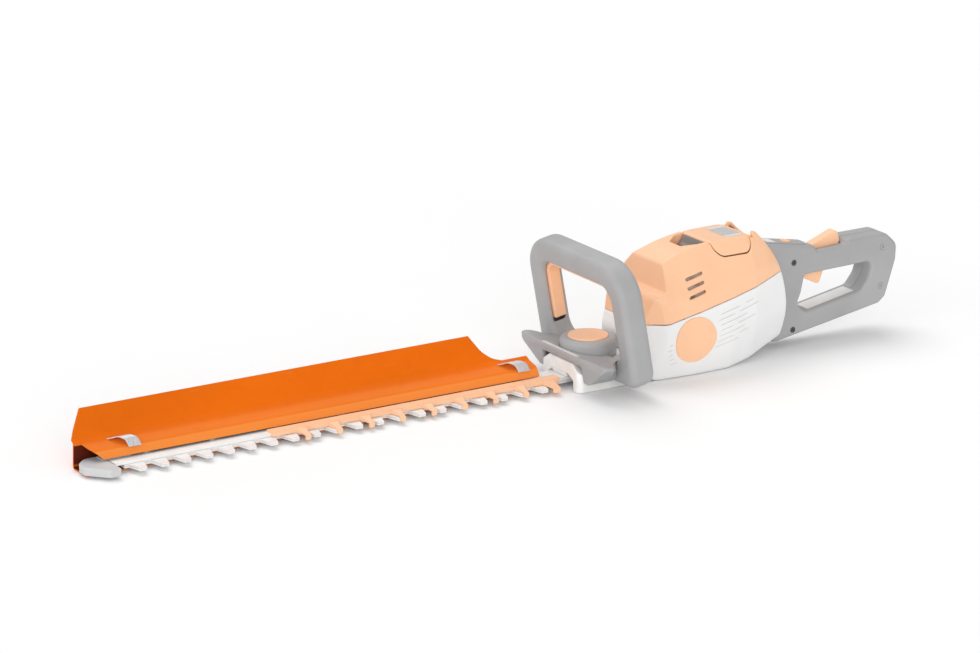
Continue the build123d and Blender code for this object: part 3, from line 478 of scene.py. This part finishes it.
RAY_START_Y = 0.12          # metres from the middle, outside both flanks
TRIM_SLOPE = -0.22          # fall of the trim lines towards the front
TRIM_WIDTH = 1.3
TRIM_PROUD = 0.25
TRIM_SINK = 0.5
TRIM_STEP = 2.5
BADGE_X = 33
VENT_X = (8, 50)
VENT_Z = (102, 138)
VENT_GRID = 9               # points each way over the vent field
VENT_DEPTH = 0.0044         # metres from the outer face to the baffle
INNER_Y = 0.03              # a ray that ends nearer the middle went through a slot
WALL_Y = 0.050              # where no ray finds the wall
BAFFLE_THICKNESS = 0.0008
# Height at the badge's middle, and the (x start, x end) of each line on that height, in mm
TRIM_RUNS = [
    (70, [(-4, -34), (-44, -58)]),
    (63, [(0, -26), (-34, -66)]),
    (56, [(72, 66), (-3, -46)]),
    (49, [(74, 67), (-4, -22), (-30, -60)]),
    (42, [(72, 65), (-2, -42)]),
    (35, [(70, 62), (0, -24), (-32, -48)]),
    (28, [(67, 57), (4, -34)]),
]


def new_piece(name, verts, faces, material, body, smooth=True):
    """Mesh piece in metres that rides on a body."""
    mesh = bpy.data.meshes.new(name)
    mesh.from_pydata(verts, [], faces)
    mesh.update()
    work = bmesh.new()
    work.from_mesh(mesh)
    bmesh.ops.recalc_face_normals(work, faces=work.faces)
    work.to_mesh(mesh)
    work.free()
    for face in mesh.polygons:
        face.use_smooth = smooth
    piece = bpy.data.objects.new(name, mesh)
    bpy.context.scene.collection.objects.link(piece)
    mesh.materials.append(material)
    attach(piece, body)
    return piece


def surface_tree(skin):
    """Ray-cast tree of a skin."""
    work = bmesh.new()
    work.from_mesh(skin.data)
    tree = BVHTree.FromBMesh(work)
    work.free()
    return tree


def flank_ribbon(tree, side, line, width, proud, sink, verts, faces):
    """Raised rounded ribbon along (x, z) points in mm, laid on the flank and added to verts and faces."""
    rings = []
    for index, (x, z) in enumerate(line):
        end = min(index, len(line) - 1 - index)
        half = width / 2 * (0.45 if end == 0 else 0.85 if end == 1 else 1.0)
        ring = []
        profile = ((-1.0, -sink), (-0.8, proud * 0.6), (0, proud), (0.8, proud * 0.6), (1.0, -sink))
        for across, height in profile:
            start = Vector((x * MM, side * RAY_START_Y, (z + across * half) * MM))
            hit, normal, _, _ = tree.ray_cast(start, Vector((0, -side, 0)))
            if hit is None:
                return
            ring.append(tuple(hit + Vector((0, side * height * MM, 0))))
        rings.append(ring)
    base = len(verts)
    for ring in rings:
        verts.extend(ring)
    for row in range(len(rings) - 1):
        for column in range(4):
            a = base + row * 5 + column
            faces.append((a, a + 1, a + 6, a + 5))
        faces.append((base + row * 5 + 4, base + row * 5, base + row * 5 + 5, base + row * 5 + 9))
    faces.append(tuple(range(base, base + 5)))
    faces.append(tuple(range(base + 5 * len(rings) - 1, base + 5 * len(rings) - 6, -1)))


def flank_lines():
    """Thin parallel trim lines in front of and behind the badge, along the seam's direction."""
    lines = []
    for level, runs in TRIM_RUNS:
        for x0, x1 in runs:
            steps = max(4, round(abs(x1 - x0) / TRIM_STEP))
            places = [x0 + (x1 - x0) * step / steps for step in range(steps + 1)]
            lines.append([(x, level + TRIM_SLOPE * (x - BADGE_X)) for x in places])
    return lines


def make_flank_trim():
    """Trim lines on both flanks of the lower shell."""
    tree = surface_tree(SKINS["lower_shell"])
    for side, name in ((1, "trim_lines_left"), (-1, "trim_lines_right")):
        verts, faces = [], []
        for line in flank_lines():
            flank_ribbon(tree, side, line, TRIM_WIDTH, TRIM_PROUD, TRIM_SINK, verts, faces)
        new_piece(name, verts, faces, GROOVE_GREY, "root")


def spread(ends, index):
    """Place number index of VENT_GRID even places between two ends."""
    return ends[0] + (ends[1] - ends[0]) * index / (VENT_GRID - 1)


def wall_depth(tree, side, x, z):
    """How far out the wall lies at or just beside a place on the flank, in metres."""
    depth = None
    for shift in (0, 3.0, -3.0, 6.0):
        start = Vector(((x + shift) * MM, side * RAY_START_Y, z * MM))
        hit = tree.ray_cast(start, Vector((0, -side, 0)))[0]
        if hit is None or side * hit.y <= INNER_Y:
            continue
        if depth is None or side * hit.y > side * depth:
            depth = hit.y
    return side * WALL_Y if depth is None else depth


def make_vent_backs():
    """Pale baffle behind the air slots of each flank, just inside the wall."""
    tree = surface_tree(SKINS["top_shell"])
    for side, name in ((1, "vent_baffle_left"), (-1, "vent_baffle_right")):
        verts, faces = [], []
        for row in range(VENT_GRID):
            z = spread(VENT_Z, row)
            for column in range(VENT_GRID):
                x = spread(VENT_X, column)
                verts.append((x * MM, wall_depth(tree, side, x, z) - side * VENT_DEPTH, z * MM))
        for row in range(VENT_GRID - 1):
            for column in range(VENT_GRID - 1):
                a = row * VENT_GRID + column
                faces.append((a, a + 1, a + VENT_GRID + 1, a + VENT_GRID))
        piece = new_piece(name, verts, faces, BAFFLE, "root")
        solid = piece.modifiers.new("thickness", "SOLIDIFY")
        solid.thickness = BAFFLE_THICKNESS
        piece.data = evaluated_mesh(piece)
        piece.modifiers.clear()


make_flank_trim()
make_vent_backs()


# ---------------------------------------------------------------- floor, camera and light

def make_floor():
    """Plain pale studio floor, just under the object."""
    mesh = bpy.data.meshes.new("floor")
    work = bmesh.new()
    bmesh.ops.create_grid(work, x_segments=24, y_segments=24, size=9)
    for vert in work.verts:
        vert.co.z = CAD_BOX[0].z - 0.0005
    work.to_mesh(mesh)
    work.free()
    floor = bpy.data.objects.new("floor", mesh)
    bpy.context.scene.collection.objects.link(floor)
    kit = Nodes("floor_paper")
    tone = kit.remap(kit.noise(3, 3), 0.3, 0.7, 0, 1)
    paper = kit.mix(tone, (0.955, 0.955, 0.955, 1), (0.965, 0.965, 0.965, 1))
    kit.put(kit.shader.inputs["Base Color"], paper)
    kit.shader.inputs["Roughness"].default_value = 0.9
    kit.shader.inputs["Specular IOR Level"].default_value = 0.1
    mesh.materials.append(kit.material)


make_camera()
make_light()
make_floor()
